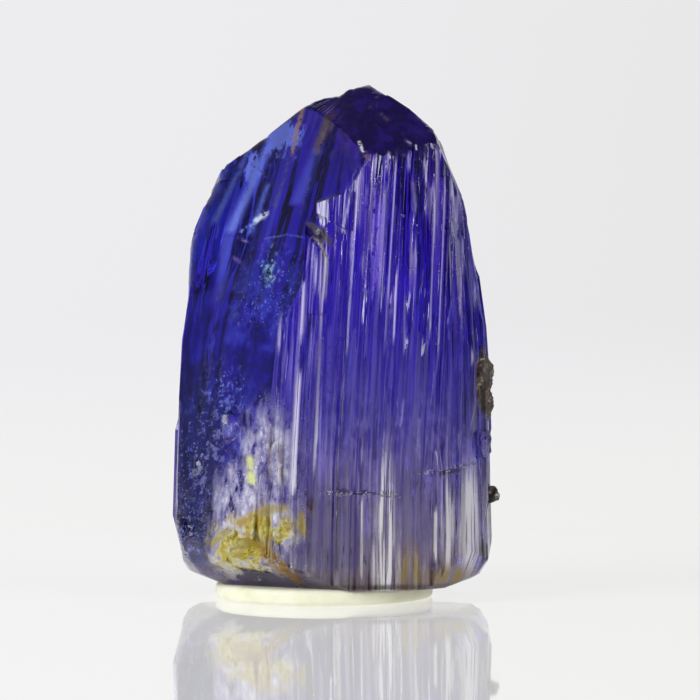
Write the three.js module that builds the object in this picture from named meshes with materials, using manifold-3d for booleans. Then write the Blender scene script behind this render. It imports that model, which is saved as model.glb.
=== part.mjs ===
// A rough tanzanite crystal (blue zoisite) standing on a pressed pad of mounting putty.
// Millimetres, +Z up. The pad's underside is z = 0, and the crystal's striated front looks along -Y.
import * as THREE from "three";
import { mergeVertices } from "three/addons/utils/BufferGeometryUtils.js";
import Module from "manifold-3d";

const wasm = await Module();
wasm.setup();

// Driving dimensions
const PAD_THICKNESS = 0.9;
const PAD_RADIUS = 6.45;
const PAD_CENTRE_X = -0.77;
const PAD_EDGE_ROUND = 0.28;
const FOOT_Z = PAD_THICKNESS; // the crystal's broken foot lies flat on the pad
const APEX = [1.6, 0, 30.4];
const PRISM_BOTTOM = -0.6; // before the foot is cut
const PRISM_TOP = 31;
const PRISM_LEVELS = 10; // bands up the prism between which the striations wander
const CAP_MIDDLE = 0.5; // a cap's middle point lies nearer the unit cylinder's axis than this
const SECTION_Z = 12; // the height at which SECTION is measured
const TAPER = 0.03; // how fast the narrow sides draw in with height
const SHOULDER_Z = 13; // above this the narrow sides curve in
const SHOULDER_CURVE = 0.012;
const FLAT_TAPER = 0.02; // the same for the broad front and back
const BACK_FACING = 165; // the side of the crystal that leans in, up to the edge of the roof
const BACK_LEAN_Z = 8; // above this height
const BACK_LEAN = 0.25;
const LEAN_ABOVE = 0.06; // sideways drift of the growth direction per millimetre, upper part
const LEAN_BELOW = 0.022; // and in the lower part
const LEAN_CHANGE_Z = 8;

// The striations: ribs that run up the whole prism. Depths are measured inwards from the outline.
const RIB_WIDTH_FRONT = [0.3, 0.95]; // the front is more finely ribbed
const RIB_WIDTH_ELSEWHERE = [0.8, 2.2];
const FRONT_Y = -6;
const FRONT_DEPTH = 1.8; // how far from FRONT_Y still counts as the front
const LATH_CHANCE = 0.35; // the chance that a rib starts a lath, a strip of ribs on one level
const LATH_DEPTH = [0, 0.24];
const CREST_DEPTH = [0, 0.1];
const CREST_START = [0.12, 0.35]; // as shares of the rib's width
const CREST_SPAN = [0.25, 0.55];
const CREST_LEAN = [-0.07, 0.07];
const VALLEY_DEPTH = [0.1, 0.3];
const FADE_CHANCE = 0.4; // the chance that a rib grows shallow above some level
const FADED_DEPTH = 0.12;
const WANDER = [-0.03, 0.03];

const LEDGE_ROOT = 0.9; // how deep a ledge's bar reaches into the crystal
const LEDGE_BANDS = 5; // bands along the bar: over the first and the last it rises and sinks
const LEDGE_SUNK = 0.55; // depth of its two ends below the outline
const LEDGE_CREST = 0.42; // the crest's width, as a share of the root's
const LEDGE_SHIFT = [-0.25, 0.25]; // the crest's shift to a side, as a share of the width
const LUMP_UNEVENNESS = 0.16;
const CHIP_UNEVENNESS = 0.1;
const MERGE_DISTANCE = 1e-4;
const REACH = 90; // larger than anything here, for the blocks that cut faces

// Corners of the prism's cross-section, from the middle of the front around by the right side.
const SECTION = [
  [0, -6.3], [3.5, -6.25], [6.2, -5.6], [7.95, -4.3], [8.82, -2.6], [9.08, -0.6],
  [8.85, 1.6], [7.8, 3.7], [5.5, 5.1], [2.0, 5.9], [-2.5, 6.0], [-6.3, 5.2],
  [-8.8, 3.6], [-9.5, 1.3], [-9.53, -0.6], [-9.18, -3.2], [-6.7, -5.6], [-3.6, -6.25],
];

// Ridges laid over the striations: [distance along the outline, foot, top, width, rise].
// The distance counts from the middle of the front, and negative ones lie to the left.
// The tops above 26 are cut off by the roof and end there in a step.
const LEDGES = [
  [-3.3, 0.5, 14.6, 0.5, 0.12],
  [-2.45, 5.9, 15.6, 0.46, 0.2],
  [-1.75, 1.5, 19.0, 0.36, 0.1],
  [-1.1, 8.5, 21.0, 0.34, 0.14],
  [-0.35, 11.0, 22.4, 0.3, 0.08],
  [0.5, 12.5, 27.5, 0.62, 0.16],
  [1.25, 13.0, 26.3, 0.4, 0.08],
  [1.6, -3.5, 13.0, 0.55, 0.1],
  [2.25, 16.6, 27.9, 0.42, 0.12],
  [2.85, 11.0, 27.2, 0.5, 0.19],
  [3.3, 0.0, 11.5, 0.7, 0.08],
  [3.9, 14.0, 26.2, 0.34, 0.12],
  [4.4, 17.0, 28.2, 0.3, 0.1],
  [4.95, 13.5, 28.2, 0.55, 0.18],
  [5.6, 11.5, 27.0, 0.3, 0.12],
  [5.9, -3.5, 11.0, 0.8, 0.06],
  [6.5, 15.5, 26.0, 0.36, 0.12],
  [7.3, 1.5, 20.5, 0.5, 0.08],
  [8.5, 9.0, 22.5, 0.45, 0.08],
  [9.9, 2.5, 20.0, 0.6, 0.08],
  [13.2, 7.0, 22.0, 0.8, 0.1],
  [16.0, 0.0, 16.5, 0.9, 0.1],
  [19.4, 5.5, 27.0, 0.8, 0.12],
  [22.6, -3.5, 18.0, 1.1, 0.12],
  [25.0, 8.0, 27.0, 0.9, 0.14],
  [27.8, 1.5, 22.0, 1.2, 0.12],
  [31.5, -3.5, 14.0, 0.9, 0.1],
  [34.4, 5.0, 18.5, 0.9, 0.1],
  [37.0, -1.0, 12.5, 0.8, 0.08],
];

// Grains of the host rock and small lumps still fast to the crystal: [centre, half sizes].
const LUMPS = [
  [[8.5, -2.3, 13.3], [0.7, 0.9, 1.3]],
  [[8.62, -2.0, 11.6], [0.6, 0.8, 1.2]],
  [[9.15, -1.2, 6.15], [0.5, 0.6, 0.62]],
  [[8.7, -3.0, 9.2], [0.4, 0.5, 0.9]],
  [[-9.2, -1.7, 3.9], [0.5, 0.7, 0.9]],
  [[-6.6, -2.9, 4.2], [0.8, 0.7, 0.6]],
  [[-4.9, -4.75, 5.4], [0.7, 0.55, 0.9]],
  [[-3.6, -5.85, 8.3], [0.55, 0.4, 1.2]],
  [[-7.9, -1.95, 7.9], [0.6, 0.55, 0.9]],
  [[-6.2, -3.9, 10.3], [0.6, 0.4, 0.9]],
];

// Chips and pits, shell-shaped hollows where flakes have sprung off: [centre, half sizes].
const CHIPS = [
  [[-1.1, -6.5, 21.75], [0.62, 1.15, 0.62]],
  [[2.0, -6.5, 26.3], [0.5, 0.7, 0.75]],
  [[-0.15, 0.2, 30.35], [0.75, 2.4, 0.75]],
  [[9.95, -1.0, 15.9], [0.8, 1.4, 1.3]],
  [[10.1, -1.9, 9.3], [0.9, 1.1, 1.2]],
  [[-9.9, -4.3, 6.2], [1.5, 1.3, 1.7]],
  [[-8.6, -5.2, 3.2], [1.7, 1.5, 1.5]],
  [[-5.6, -6.0, 3.2], [1.5, 1.3, 0.8]],
  [[-3.1, -6.85, 4.4], [1.1, 0.8, 0.9]],
  [[2.4, 8.5, 15.5], [3.2, 3.4, 3.0]],
  [[-5.2, 7.3, 5.0], [2.4, 2.0, 2.3]],
  [[7.6, 6.3, 6.5], [1.6, 2.2, 2.4]],
];

// Remnants of the striated face that jut out over the window's edge.
// left, right: [x, y] of the front's ends. top, bottom: the heights at those two ends.
// rise: how much higher the top lies at the back than at the front.
const REMNANTS = [
  {
    left: [-1.2, -5.85], right: [0.75, -6.2], depth: 1.5,
    top: [23.4, 24.1], bottom: [22.95, 21.75], rise: -0.05,
  },
  {
    left: [-1.85, -6.0], right: [-0.3, -6.25], depth: 1,
    top: [21.6, 20.1], bottom: [17, 17], rise: 0.6,
  },
];
const REMNANT_RIBS = 7;
const REMNANT_CREST = [0, 0.1];
const REMNANT_VALLEY = [0.12, 0.2];
const REMNANT_SHIFT = [-0.25, 0.25]; // of a valley to a side, as a share of a rib's half width
const REMNANT_DROP = 0.5; // how much lower the underside lies at the back than at the front

// Cracks across the growth direction: [length, size, slope in degrees, middle].
const CRACKS = [
  [6.3, 0.2, 1, [0.95, -6.3, 6.6]],
  [3.0, 0.18, -4, [7.4, -4.9, 7.75]],
];

const UP = new THREE.Vector3(0, 0, 1);
const radians = THREE.MathUtils.degToRad;
const BACKWARD = new THREE.Vector2(Math.sin(radians(BACK_FACING)), -Math.cos(radians(BACK_FACING)));

// A repeatable stream of numbers from 0 to 1.
function numberStream(seed) {
  let state = seed;
  return () => {
    state = (state + 0x6d2b79f5) | 0;
    let mixed = Math.imul(state ^ (state >>> 15), 1 | state);
    mixed = (mixed + Math.imul(mixed ^ (mixed >>> 7), 61 | mixed)) ^ mixed;
    return ((mixed ^ (mixed >>> 14)) >>> 0) / 4294967296;
  };
}

function within(random, [low, high]) {
  return low + (high - low) * random();
}

// A closed three.js geometry as a solid that can be joined and cut.
function solidFrom(geometry) {
  const bare = geometry.clone();
  bare.deleteAttribute("normal");
  bare.deleteAttribute("uv");
  const merged = mergeVertices(bare, MERGE_DISTANCE);
  const triangles = new Uint32Array(merged.index.array);
  const corners = new Float32Array(merged.attributes.position.array);
  return new wasm.Manifold(new wasm.Mesh({ numProp: 3, vertProperties: corners, triVerts: triangles }));
}

function geometryFrom(solid) {
  const mesh = solid.getMesh();
  const geometry = new THREE.BufferGeometry();
  geometry.setAttribute("position", new THREE.BufferAttribute(mesh.vertProperties, 3));
  geometry.setIndex(new THREE.BufferAttribute(mesh.triVerts, 1));
  geometry.computeVertexNormals();
  return geometry;
}

// A flat face. facing: 0 is the front (-Y), 90 the right (+X), 180 the back.
// tilt: how far the face looks upwards. through: a point that it passes through.
function face(facing, tilt, through) {
  const level = Math.cos(radians(tilt));
  const normal = new THREE.Vector3(
    Math.sin(radians(facing)) * level,
    -Math.cos(radians(facing)) * level,
    Math.sin(radians(tilt)),
  );
  return { normal, through: new THREE.Vector3(...through) };
}

// Everything beyond a face.
function beyond({ normal, through }) {
  const block = new THREE.BoxGeometry(REACH, REACH, REACH);
  block.translate(0, 0, REACH / 2);
  block.applyQuaternion(new THREE.Quaternion().setFromUnitVectors(UP, normal));
  block.translate(through.x, through.y, through.z);
  return solidFrom(block);
}

// Smooth faces: the window on the left front, the left shoulder and the termination.
const SMOOTH_FACES = [
  face(-43, 19.6, [1.76, -6.0, 25.95]), // the window, leaning back
  face(-43.6, 12.5, [-2.65, -6.0, 17.6]),
  face(-44.3, 5.6, [-3.45, -6.0, 14.0]), // the steeper flank under it
  face(-116, 9.5, [-9.05, 0.4, 18.2]), // left shoulder, rising
  face(-117, 19, [-8.6, 1.1, 22.1]),
  face(-120, 31, [-8.0, 1.2, 24.2]),
  face(-125, 43, [-7.15, 1.3, 25.5]),
  face(-134, 55, [-4.2, 0.2, 27.45]),
  face(-120, 70, APEX),
  face(-10, 84, [1.0, 0, 30.27]), // the worn tip
  face(0, 54.5, APEX), // dark roof over the striated front
  face(-13, 56.5, [0.2, -2.6, 28.5]),
  face(95, 57, [2.2, -0.1, 30.2]), // and its right side, in four steps
  face(95, 46.6, [4.1, -1.75, 29.05]),
  face(91, 36, [5.7, -3.65, 27.7]),
  face(87, 23, [6.6, -3.5, 25.4]),
  face(88, 12, [7.75, -3.0, 22.0]),
];

// Broken faces at the foot.
const FOOT_FACES = [
  face(0, -90, [0, 0, FOOT_Z]),
  face(-84, -14, [-9.6, 0.5, 4.3]), // left edge
  face(-80, -36, [-9.3, 0.5, 2.5]),
  face(-76, -66, [-9.0, 0, 1.7]),
  face(-52, -24, [-8.6, -3.6, 3.4]), // and its corner towards the front
  face(-48, -46, [-7.9, -4.1, 1.7]),
  face(88, -10, [9.35, 0.5, 4.2]), // right edge
  face(84, -34, [9.1, 0.5, 2.3]),
  face(78, -70, [8.4, 0, 1.3]),
  face(50, -20, [8.3, -3.7, 3.0]),
  face(46, -48, [7.6, -4.2, 1.5]),
  face(-30, -52, [-5.6, -4.2, 1.9]), // undercut below the cloudy corner
];

// How far a flank that looks along outward has drawn in at height z.
function drawnIn(outward, z) {
  const above = Math.max(0, z - SHOULDER_Z);
  const narrow = TAPER * (z - SECTION_Z) + SHOULDER_CURVE * above * above;
  const broad = FLAT_TAPER * (z - SECTION_Z);
  const share = Math.abs(outward.x);
  const backward = Math.max(0, outward.dot(BACKWARD)) ** 4;
  const lean = BACK_LEAN * Math.max(0, z - BACK_LEAN_Z);
  return share * narrow + (1 - share) * broad + backward * lean;
}

// Sideways drift of the growth direction at height z.
function drift(z) {
  const rise = z - LEAN_CHANGE_Z;
  return rise * (rise > 0 ? LEAN_ABOVE : LEAN_BELOW);
}

// A place on the cross-section's outline, at a distance along it, and the direction it looks in.
const sides = SECTION.map(([x, y], i) => {
  const [nextX, nextY] = SECTION[(i + 1) % SECTION.length];
  const run = new THREE.Vector2(nextX - x, nextY - y);
  return { start: new THREE.Vector2(x, y), run, length: run.length() };
});
const girth = sides.reduce((sum, side) => sum + side.length, 0);

function onOutline(distance) {
  let left = THREE.MathUtils.euclideanModulo(distance, girth);
  const side = sides.find((one) => {
    if (left <= one.length) return true;
    left -= one.length;
    return false;
  });
  const along = side.run.clone().divideScalar(side.length);
  return {
    point: side.start.clone().addScaledVector(along, left),
    outward: new THREE.Vector2(along.y, -along.x),
  };
}

// The striations as columns around the outline: each rib is a valley and the two edges of a crest.
// depths: how far the column lies below the outline, at each level up the prism.
function striationColumns() {
  const random = numberStream(30);
  const columns = [];
  let lath = 0;
  for (let distance = 0; distance < girth; ) {
    const isFront = Math.abs(onOutline(distance).point.y - FRONT_Y) < FRONT_DEPTH;
    const width = within(random, isFront ? RIB_WIDTH_FRONT : RIB_WIDTH_ELSEWHERE);
    if (random() < LATH_CHANCE) lath = within(random, LATH_DEPTH);
    const crest = lath + within(random, CREST_DEPTH);
    const valley = lath + within(random, VALLEY_DEPTH);
    const lean = within(random, CREST_LEAN);
    const fades = random() < FADE_CHANCE;
    const fadeLevel = fades ? within(random, [2, PRISM_LEVELS]) : Infinity;
    const crestStart = within(random, CREST_START) * width;
    const crestEnd = crestStart + within(random, CREST_SPAN) * width;
    const depthsOf = (depth) =>
      Array.from({ length: PRISM_LEVELS + 1 }, (_, level) => {
        const faded = level >= fadeLevel ? (depth + crest + FADED_DEPTH) / 2 : depth;
        return faded + within(random, WANDER);
      });
    columns.push({ distance, depths: depthsOf(valley) });
    columns.push({ distance: distance + crestStart, depths: depthsOf(crest + lean) });
    columns.push({ distance: distance + crestEnd, depths: depthsOf(crest - lean) });
    distance += width;
  }
  return columns;
}

function makePrism() {
  const columns = striationColumns();
  const height = PRISM_TOP - PRISM_BOTTOM;
  const geometry = new THREE.CylinderGeometry(1, 1, height, columns.length, PRISM_LEVELS);
  geometry.rotateX(Math.PI / 2); // the cylinder's first column now looks along -Y
  geometry.translate(0, 0, PRISM_BOTTOM + height / 2);
  const place = geometry.attributes.position;
  for (let i = 0; i < place.count; i++) {
    const z = place.getZ(i);
    if (Math.hypot(place.getX(i), place.getY(i)) < CAP_MIDDLE) continue;
    const turn = Math.atan2(place.getX(i), -place.getY(i)) / (2 * Math.PI);
    const column = columns[Math.round((turn + 1) * columns.length) % columns.length];
    const level = Math.round(((z - PRISM_BOTTOM) / height) * PRISM_LEVELS);
    const { point, outward } = onOutline(column.distance);
    point.addScaledVector(outward, -drawnIn(outward, z) - column.depths[level]);
    place.setXY(i, point.x + drift(z) * outward.y * outward.y, point.y);
  }
  return solidFrom(geometry);
}

// A ridge that stops short: a bar sunk in the flank, narrower at its crest, that fades at both ends.
function makeLedge([distance, foot, top, width, rise], random) {
  const bar = new THREE.BoxGeometry(width, 1, 1, 1, 1, LEDGE_BANDS);
  const { point, outward } = onOutline(distance);
  const tangent = new THREE.Vector2(-outward.y, outward.x);
  const crestShift = within(random, LEDGE_SHIFT) * width;
  const place = bar.attributes.position;
  for (let i = 0; i < place.count; i++) {
    const z = foot + (top - foot) * (place.getZ(i) + 0.5);
    const isCrest = place.getY(i) < 0;
    const isEnd = Math.abs(place.getZ(i)) === 0.5;
    const across = isCrest ? LEDGE_CREST * place.getX(i) + crestShift : place.getX(i);
    const crestHeight = isEnd ? -LEDGE_SUNK : rise;
    const depth = drawnIn(outward, z) - (isCrest ? crestHeight : -LEDGE_ROOT);
    const at = point.clone().addScaledVector(outward, -depth).addScaledVector(tangent, across);
    place.setXYZ(i, at.x + drift(z) * outward.y * outward.y, at.y, z);
  }
  return solidFrom(bar);
}

// An uneven, roughly egg-shaped body with flat facets.
function makeKnob([centre, halfSizes], random, unevenness) {
  const sphere = new THREE.IcosahedronGeometry(1, 2);
  sphere.deleteAttribute("normal");
  sphere.deleteAttribute("uv");
  const knob = mergeVertices(sphere, MERGE_DISTANCE);
  const place = knob.attributes.position;
  for (let i = 0; i < place.count; i++) {
    const swell = 1 + within(random, [-unevenness, unevenness]);
    place.setXYZ(i, place.getX(i) * swell, place.getY(i) * swell, place.getZ(i) * swell);
  }
  knob.scale(...halfSizes);
  knob.translate(...centre);
  return solidFrom(knob);
}

// A ribbed block whose top and bottom slope.
function makeRemnant({ left, right, top, bottom, depth, rise }, random) {
  const front = new THREE.LineCurve(new THREE.Vector2(...left), new THREE.Vector2(...right));
  const outline = new THREE.Shape();
  outline.moveTo(right[0], right[1] + depth);
  outline.lineTo(left[0], left[1] + depth);
  const steps = 2 * REMNANT_RIBS;
  for (let i = 0; i <= steps; i++) {
    const isValley = i % 2 === 1;
    const share = (i + (isValley ? within(random, REMNANT_SHIFT) : 0)) / steps;
    const at = front.getPoint(share);
    outline.lineTo(at.x, at.y + within(random, isValley ? REMNANT_VALLEY : REMNANT_CREST));
  }
  const block = new THREE.ExtrudeGeometry(outline, { depth: 1, bevelEnabled: false });
  const place = block.attributes.position;
  for (let i = 0; i < place.count; i++) {
    const isTop = place.getZ(i) > 0;
    const [leftZ, rightZ] = isTop ? top : bottom;
    const across = (place.getX(i) - left[0]) / (right[0] - left[0]);
    const inwards = (place.getY(i) - left[1]) / depth;
    const level = leftZ + (rightZ - leftZ) * across;
    const z = level + (isTop ? rise : -REMNANT_DROP) * inwards;
    place.setXYZ(i, place.getX(i) + drift(z) - drift(top[0]), place.getY(i), z);
  }
  return solidFrom(block);
}

// A V-shaped groove cut across the face.
function makeCrack([length, size, slope, middle]) {
  const groove = new THREE.BoxGeometry(length, size, size);
  groove.rotateX(Math.PI / 4);
  groove.rotateY(radians(slope));
  groove.translate(...middle);
  return solidFrom(groove);
}

function makeCrystal() {
  const random = numberStream(54);
  let crystal = makePrism();
  LEDGES.forEach((ledge) => {
    crystal = crystal.add(makeLedge(ledge, random));
  });
  SMOOTH_FACES.forEach((one) => {
    crystal = crystal.subtract(beyond(one));
  });
  REMNANTS.forEach((remnant) => {
    crystal = crystal.add(makeRemnant(remnant, random));
  });
  LUMPS.forEach((lump) => {
    crystal = crystal.add(makeKnob(lump, random, LUMP_UNEVENNESS));
  });
  CHIPS.forEach((chip) => {
    crystal = crystal.subtract(makeKnob(chip, random, CHIP_UNEVENNESS));
  });
  CRACKS.forEach((crack) => {
    crystal = crystal.subtract(makeCrack(crack));
  });
  FOOT_FACES.forEach((one) => {
    crystal = crystal.subtract(beyond(one));
  });
  return crystal;
}

function makePad() {
  const inner = PAD_RADIUS - PAD_EDGE_ROUND;
  const profile = new THREE.Path();
  profile.moveTo(0, 0);
  profile.lineTo(inner, 0);
  profile.absarc(inner, PAD_EDGE_ROUND, PAD_EDGE_ROUND, -Math.PI / 2, 0, false);
  profile.absarc(inner, PAD_THICKNESS - PAD_EDGE_ROUND, PAD_EDGE_ROUND, 0, Math.PI / 2, false);
  profile.lineTo(0, PAD_THICKNESS);
  const geometry = new THREE.LatheGeometry(profile.getPoints(3), 48);
  geometry.rotateX(Math.PI / 2); // the lathe turns about Y; the pad stands along Z
  return geometry;
}

const tanzanite = new THREE.Mesh(
  geometryFrom(makeCrystal()),
  new THREE.MeshStandardMaterial({ name: "tanzanite", color: 0x2c1fa0, roughness: 0.08, metalness: 0 }),
);
tanzanite.name = "tanzanite_crystal";

const putty = new THREE.Mesh(
  makePad(),
  new THREE.MeshStandardMaterial({ name: "putty", color: 0xf1f2dc, roughness: 0.6, metalness: 0 }),
);
putty.name = "mounting_putty";
putty.position.x = PAD_CENTRE_X;

const part = new THREE.Group();
part.add(tanzanite, putty);

// The origin lies on the floor, under the middle of the whole part.
const middle = new THREE.Box3().setFromObject(part, true).getCenter(new THREE.Vector3());
part.children.forEach((piece) => {
  piece.position.x -= middle.x;
  piece.position.y -= middle.y;
});

export default part;
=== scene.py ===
import math
from types import SimpleNamespace

import bmesh
import bpy
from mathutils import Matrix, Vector, noise


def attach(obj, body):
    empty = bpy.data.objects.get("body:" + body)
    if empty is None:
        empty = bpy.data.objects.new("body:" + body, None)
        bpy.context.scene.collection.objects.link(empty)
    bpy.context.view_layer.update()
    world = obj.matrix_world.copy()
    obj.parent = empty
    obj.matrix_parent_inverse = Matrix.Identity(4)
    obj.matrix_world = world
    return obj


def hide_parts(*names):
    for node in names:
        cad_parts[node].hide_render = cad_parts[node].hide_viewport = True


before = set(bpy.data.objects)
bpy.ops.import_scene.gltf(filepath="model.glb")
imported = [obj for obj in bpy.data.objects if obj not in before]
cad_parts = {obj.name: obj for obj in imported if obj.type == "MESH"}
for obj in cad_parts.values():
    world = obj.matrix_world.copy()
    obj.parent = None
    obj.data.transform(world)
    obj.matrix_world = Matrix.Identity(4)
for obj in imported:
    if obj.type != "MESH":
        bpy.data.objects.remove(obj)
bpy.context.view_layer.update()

MM = 0.001
scene = bpy.context.scene


def colour(hex_code, alpha=1.0):
    """An sRGB hex value as linear red, green, blue and alpha."""
    parts = [int(hex_code[i : i + 2], 16) / 255 for i in (1, 3, 5)]
    linear = [c / 12.92 if c <= 0.04045 else ((c + 0.055) / 1.055) ** 2.4 for c in parts]
    return (*linear, alpha)


# --- Camera -----------------------------------------------------------------------------------
# A long lens, a little above level, so that the foot is seen at about five degrees.
VIEW_DISTANCE = 300 * MM
VIEW_RISE = math.radians(2.3)
VIEW_WIDTH = 41.49 * MM  # what the frame takes in at the crystal
VIEW_CENTRE = Vector((0.85, 0, 14.65)) * MM
SENSOR_WIDTH = 36  # lens and sensor are in millimetres

camera_data = bpy.data.cameras.new("camera")
camera_data.sensor_width = SENSOR_WIDTH
camera_data.lens = SENSOR_WIDTH * VIEW_DISTANCE / VIEW_WIDTH
camera_data.clip_start = 1 * MM
camera_data.clip_end = 10
camera = bpy.data.objects.new("camera", camera_data)
camera.rotation_euler = (math.pi / 2 - VIEW_RISE, 0, 0)
sight = Vector((0, math.cos(VIEW_RISE), -math.sin(VIEW_RISE)))
camera.location = VIEW_CENTRE - sight * VIEW_DISTANCE
scene.collection.objects.link(camera)
scene.camera = camera


# The crystal's growth direction drifts to the right with height, more so in the upper part.
LEAN_CHANGE = 8 * MM
LEAN_ABOVE = 0.06
LEAN_BELOW = 0.022
GIRTH_RADIUS = 8 * MM  # turns an angle about the crystal into a distance around it


# --- Nodes ------------------------------------------------------------------------------------
def add(tree, kind, settings=None, **inputs):
    """Adds a node. settings are its properties; inputs are values or the sockets to link."""
    node = tree.nodes.new(kind)
    for name, value in (settings or {}).items():
        setattr(node, name, value)
    for name, value in inputs.items():
        key = int(name[1:]) if name[0] == "_" else name.replace("_", " ")
        socket = node.inputs[key]
        if isinstance(value, bpy.types.NodeSocket):
            tree.links.new(value, socket)
        else:
            socket.default_value = value
    return node


def spread(ramp, *stops):
    """Sets a colour ramp's stops: (position, hex colour)."""
    ramp.elements[0].position = stops[0][0]
    ramp.elements[0].color = colour(stops[0][1])
    ramp.elements[1].position = stops[-1][0]
    ramp.elements[1].color = colour(stops[-1][1])
    for position, shade in stops[1:-1]:
        ramp.elements.new(position).color = colour(shade)


def new_material(name):
    """A material with an empty node tree."""
    material = bpy.data.materials.new(name)
    material.use_nodes = True
    tree = material.node_tree
    tree.nodes.clear()
    return material, tree


def blend(tree, factor, low, high):
    """A colour mix: low where the factor is 0, high where it is 1."""
    mixer = add(tree, "ShaderNodeMix", {"data_type": "RGBA"}, Factor=factor)
    for index, value in ((6, low), (7, high)):
        if isinstance(value, bpy.types.NodeSocket):
            tree.links.new(value, mixer.inputs[index])
        else:
            mixer.inputs[index].default_value = value
    return mixer.outputs[2]


def patch(tree, place, centre, size, edge=0.35):
    """A mask that is 1 inside an ellipsoid, in millimetres, and falls to 0 outside it."""
    shrink = [1 / part for part in size]
    shift = [-middle / part for middle, part in zip(centre, size)]
    scaled = add(
        tree, "ShaderNodeVectorMath", {"operation": "MULTIPLY_ADD"}, _0=place, _1=shrink, _2=shift,
    )
    reach = add(tree, "ShaderNodeVectorMath", {"operation": "LENGTH"}, _0=scaled.outputs[0])
    falloff = add(
        tree, "ShaderNodeMapRange", {"interpolation_type": "SMOOTHSTEP"},
        Value=reach.outputs["Value"], From_Min=1 - edge, From_Max=1 + edge, To_Min=1.0, To_Max=0.0,
    )
    return falloff.outputs["Result"]


def fade(tree, value, zero_at, one_at):
    """A smooth ramp of a value, 0 at one end and 1 at the other."""
    ramp = add(
        tree, "ShaderNodeMapRange", {"interpolation_type": "SMOOTHSTEP"},
        Value=value, From_Min=min(zero_at, one_at), From_Max=max(zero_at, one_at),
        To_Min=0.0 if zero_at < one_at else 1.0, To_Max=1.0 if zero_at < one_at else 0.0,
    )
    return ramp.outputs["Result"]


def calc(tree, operation, first, second=0.0, third=0.0):
    """A sum, a product or other arithmetic on values and sockets."""
    return add(tree, "ShaderNodeMath", {"operation": operation}, _0=first, _1=second, _2=third).outputs[0]


def both(tree, *masks):
    """Where all of several masks are strong."""
    result = masks[0]
    for mask in masks[1:]:
        result = calc(tree, "MULTIPLY", result, mask)
    return result


def most(tree, *masks):
    """The strongest of several masks."""
    result = masks[0]
    for mask in masks[1:]:
        result = calc(tree, "MAXIMUM", result, mask)
    return result


def grain(tree, place, size, detail=2.0, roughness=0.5, seed=0.0):
    """Noise with features of the given size in millimetres."""
    moved = add(tree, "ShaderNodeVectorMath", {"operation": "ADD"}, _0=place, _1=(seed, seed, seed))
    texture = add(
        tree, "ShaderNodeTexNoise",
        Vector=moved.outputs[0], Scale=1 / size, Detail=detail, Roughness=roughness,
    )
    return texture.outputs["Fac"]


def area(tree, place, patches):
    """One mask for a list of patches: [centre, half sizes, softness of the edge]."""
    return most(tree, *(patch(tree, place, *spot) for spot in patches))


def broken(tree, mask, texture, low, high):
    """A mask broken up by a noise: it shows where the noise is above the given values."""
    return both(tree, mask, fade(tree, texture, low, high))


# Where things lie on the crystal, in millimetres. Patches: [centre, half sizes, softness of the edge].
# pale blue and thin ground in the smooth face and on the left
THIN_SKY = [((-3.0, -1.0, 27.2), (1.2, 2.5, 1.1), 0.2), ((-4.9, -1.0, 25.6), (0.4, 2.5, 1.3), 0.3)]
THIN_SIDE = [((-5.4, 1.0, 24.0), (3.2, 6.0, 5.0), 0.5)]
TARNISH = [((1.0, -3.0, 28.6), (2.6, 4.0, 1.7), 0.5)]
# clouded and stained ground, and the violet and clear zones of the foot
CLOUD = [((-4.7, -5.0, 5.4), (3.0, 3.2, 3.0), 0.35), ((-3.7, -5.2, 8.6), (1.8, 3.0, 3.0), 0.5)]
STAIN = [
    ((-5.6, -4.6, 3.0), (2.2, 2.6, 1.5), 0.3),
    ((-4.2, -5.2, 4.4), (2.2, 2.6, 1.0), 0.35),
]
VIOLET_FOOT = [((-0.2, -6.0, 4.2), (2.2, 3.0, 2.8), 0.4), ((4.6, -5.6, 5.6), (0.9, 3.0, 3.2), 0.4)]
COLUMNS = [
    ((2.95, -6.0, 4.4), (0.62, 3.0, 4.6), 0.4),
    ((2.9, -6.0, 2.4), (0.75, 3.0, 2.2), 0.4),
    ((7.8, -4.0, 4.8), (0.6, 3.0, 3.2), 0.4),
    ((6.55, -5.0, 4.6), (0.4, 3.0, 2.8), 0.4),
    ((5.85, -5.0, 4.1), (0.13, 3.0, 1.6), 0.3),
]
HONEY = [((4.4, -5.0, 1.9), (0.6, 3.0, 1.7), 0.6), ((6.5, -4.0, 1.5), (1.3, 3.0, 0.9), 0.6)]
# pale lilac wedge of the front, then the dark lower left and what lies on it
LILAC_WEDGE = [((-2.0, -6.0, 15.4), (1.1, 2.4, 3.2), 0.4), ((-1.2, -6.0, 10.5), (0.8, 2.4, 2.6), 0.5)]
NAVY = [((-8.2, -3.0, 7.8), (1.7, 3.2, 6.4), 0.35)]
ROUNDED_FOOT = [((-8.8, -1.5, 2.3), (1.8, 4.0, 1.5), 0.4)]
FLANK = [((-9.7, -1.2, 5.6), (0.7, 3.0, 4.6), 0.4)]
CRUMBS = [
    ((-7.9, -2.2, 7.6), (0.7, 1.6, 1.0), 0.4), ((-9.0, -2.6, 3.2), (1.0, 2.4, 1.8), 0.5),
    ((-6.9, -3.6, 9.4), (0.6, 1.8, 1.6), 0.5),
]
PUFFS = [((-6.2, -3.9, 11.6), (0.9, 1.8, 1.4), 0.5), ((-7.6, -3.2, 12.2), (0.5, 1.8, 0.5), 0.5)]
# painted shade in the hollow under the foot; the jutting block, the knee below it and the grown-on grains
SHADED_UNDERCUT = [((-4.2, -4.4, 1.2), (4.2, 2.6, 0.55), 0.3)]
BLOCK = [((-0.75, -6.0, 22.9), (0.42, 1.4, 0.95), 0.12)]
STRIPED_KNEE = [((-0.72, -6.0, 19.3), (0.4, 1.4, 1.6), 0.2)]
HOST_ROCK = [((9.1, -2.2, 12.9), (1.15, 2.0, 2.3), 0.15), ((9.3, -1.2, 6.2), (0.8, 0.9, 0.8), 0.2)]
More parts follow.
